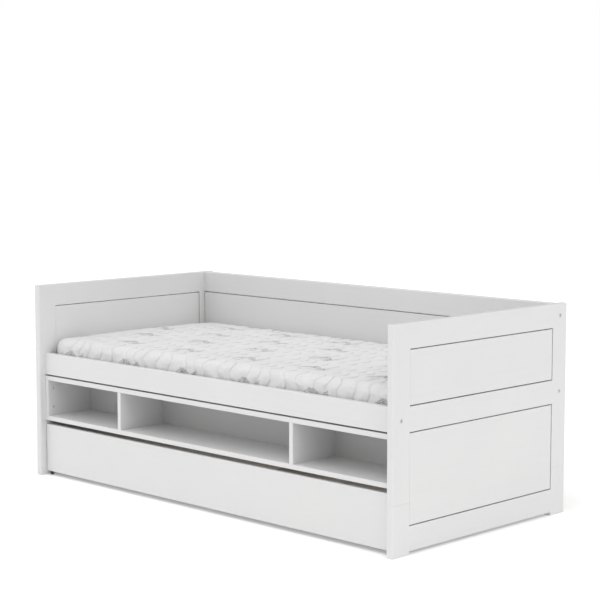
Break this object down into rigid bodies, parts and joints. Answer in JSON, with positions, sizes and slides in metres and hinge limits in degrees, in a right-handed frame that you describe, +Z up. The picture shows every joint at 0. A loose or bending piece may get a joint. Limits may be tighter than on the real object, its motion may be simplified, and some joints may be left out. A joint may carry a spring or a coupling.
{
  "type": "storage daybed",
  "caption": "Daybed with two high panelled ends and a panelled back, an open shelf unit under the front rail, and a wide drawer on rollers beneath it.",
  "frame": {"origin": "on the floor under the middle of the bed", "axes": "+X along the bed, the open front with the shelf and drawer faces -Y, +Z up"},
  "size_m": [2.07, 1.03, 0.833],
  "materials": {
    "white_lacquer": "satin lacquer",
    "white_board": "satin lacquer",
    "thin_board": "matt lacquer",
    "peg": "matt lacquer",
    "beech": "raw",
    "pine": "raw",
    "webbing": "woven",
    "mattress_cover": "quilted knit",
    "bolt_steel": "zinc plated",
    "zinc_steel": "zinc plated",
    "bracket_plastic": "moulded",
    "wheel_plastic": "moulded"
  },
  "bodies": {
    "frame": {"back_ledger": "pine", "back_lower_rail": "white_lacquer", "back_panel": "white_lacquer", "back_top_rail": "white_lacquer", "barrel_nuts": "zinc_steel", "foot_back_left": "white_lacquer", "foot_back_right": "white_lacquer", "foot_dowels": "beech", "foot_front_left": "white_lacquer", "foot_front_right": "white_lacquer", "frame_dowels": "beech", "front_ledger": "pine", "front_rail": "white_lacquer", "ledger_screws": "zinc_steel", "left_bottom_rail": "white_lacquer", "left_lower_panel": "white_lacquer", "left_middle_rail": "white_lacquer", "left_top_rail": "white_lacquer", "left_upper_panel": "white_lacquer", "mattress": "mattress_cover", "panel_pegs": "peg", "post_back_left": "white_lacquer", "post_back_right": "white_lacquer", "post_front_left": "white_lacquer", "post_front_right": "white_lacquer", "rail_bolts": "bolt_steel", "right_bottom_rail": "white_lacquer", "right_lower_panel": "white_lacquer", "right_middle_rail": "white_lacquer", "right_top_rail": "white_lacquer", "right_upper_panel": "white_lacquer", "shelf_back_panel": "thin_board", "shelf_back_pins": "zinc_steel", "shelf_bottom_board": "white_board", "shelf_dowels": "beech", "shelf_left_divider": "white_board", "shelf_left_side": "white_board", "shelf_right_divider": "white_board", "shelf_right_side": "white_board", "shelf_screws": "zinc_steel", "shelf_top_board": "white_board", "slat_tapes": "webbing", "slats": "pine"},
    "drawer": {"drawer_back": "white_board", "drawer_dowels": "beech", "drawer_front": "white_board", "drawer_left_bottom": "thin_board", "drawer_left_side": "white_board", "drawer_middle_beam": "white_board", "drawer_right_bottom": "thin_board", "drawer_right_side": "white_board", "roller_brackets": "bracket_plastic", "roller_axles": "zinc_steel"},
    "wheel_back_left": {"wheel_back_left": "wheel_plastic"},
    "wheel_back_right": {"wheel_back_right": "wheel_plastic"},
    "wheel_front_left": {"wheel_front_left": "wheel_plastic"},
    "wheel_front_right": {"wheel_front_right": "wheel_plastic"},
    "wheel_middle_back": {"wheel_middle_back": "wheel_plastic"},
    "wheel_middle_front": {"wheel_middle_front": "wheel_plastic"}
  },
  "joints": [
    {"name": "drawer_slide", "type": "slide", "parent": "frame", "child": "drawer", "axis": [0, -1, 0], "range_m": [0, 0.8]},
    {"name": "front_left_wheel_spin", "type": "hinge", "parent": "drawer", "child": "wheel_front_left", "pos_m": [-0.983, -0.47, 0.008], "axis": [1, 0, 0], "continuous": true},
    {"name": "front_right_wheel_spin", "type": "hinge", "parent": "drawer", "child": "wheel_front_right", "pos_m": [0.983, -0.47, 0.008], "axis": [1, 0, 0], "continuous": true},
    {"name": "middle_front_wheel_spin", "type": "hinge", "parent": "drawer", "child": "wheel_middle_front", "pos_m": [0, -0.3, 0.008], "axis": [1, 0, 0], "continuous": true},
    {"name": "middle_back_wheel_spin", "type": "hinge", "parent": "drawer", "child": "wheel_middle_back", "pos_m": [0, 0.407, 0.008], "axis": [1, 0, 0], "continuous": true},
    {"name": "back_left_wheel_spin", "type": "hinge", "parent": "drawer", "child": "wheel_back_left", "pos_m": [-0.978, 0.407, 0.008], "axis": [1, 0, 0], "continuous": true},
    {"name": "back_right_wheel_spin", "type": "hinge", "parent": "drawer", "child": "wheel_back_right", "pos_m": [0.978, 0.407, 0.008], "axis": [1, 0, 0], "continuous": true}
  ],
  "couplings": [
    {"joint": "front_left_wheel_spin", "follows": "drawer_slide", "rad_per_m": 125},
    {"joint": "front_right_wheel_spin", "follows": "drawer_slide", "rad_per_m": 125},
    {"joint": "middle_front_wheel_spin", "follows": "drawer_slide", "rad_per_m": 125},
    {"joint": "middle_back_wheel_spin", "follows": "drawer_slide", "rad_per_m": 125},
    {"joint": "back_left_wheel_spin", "follows": "drawer_slide", "rad_per_m": 125},
    {"joint": "back_right_wheel_spin", "follows": "drawer_slide", "rad_per_m": 125}
  ]
}
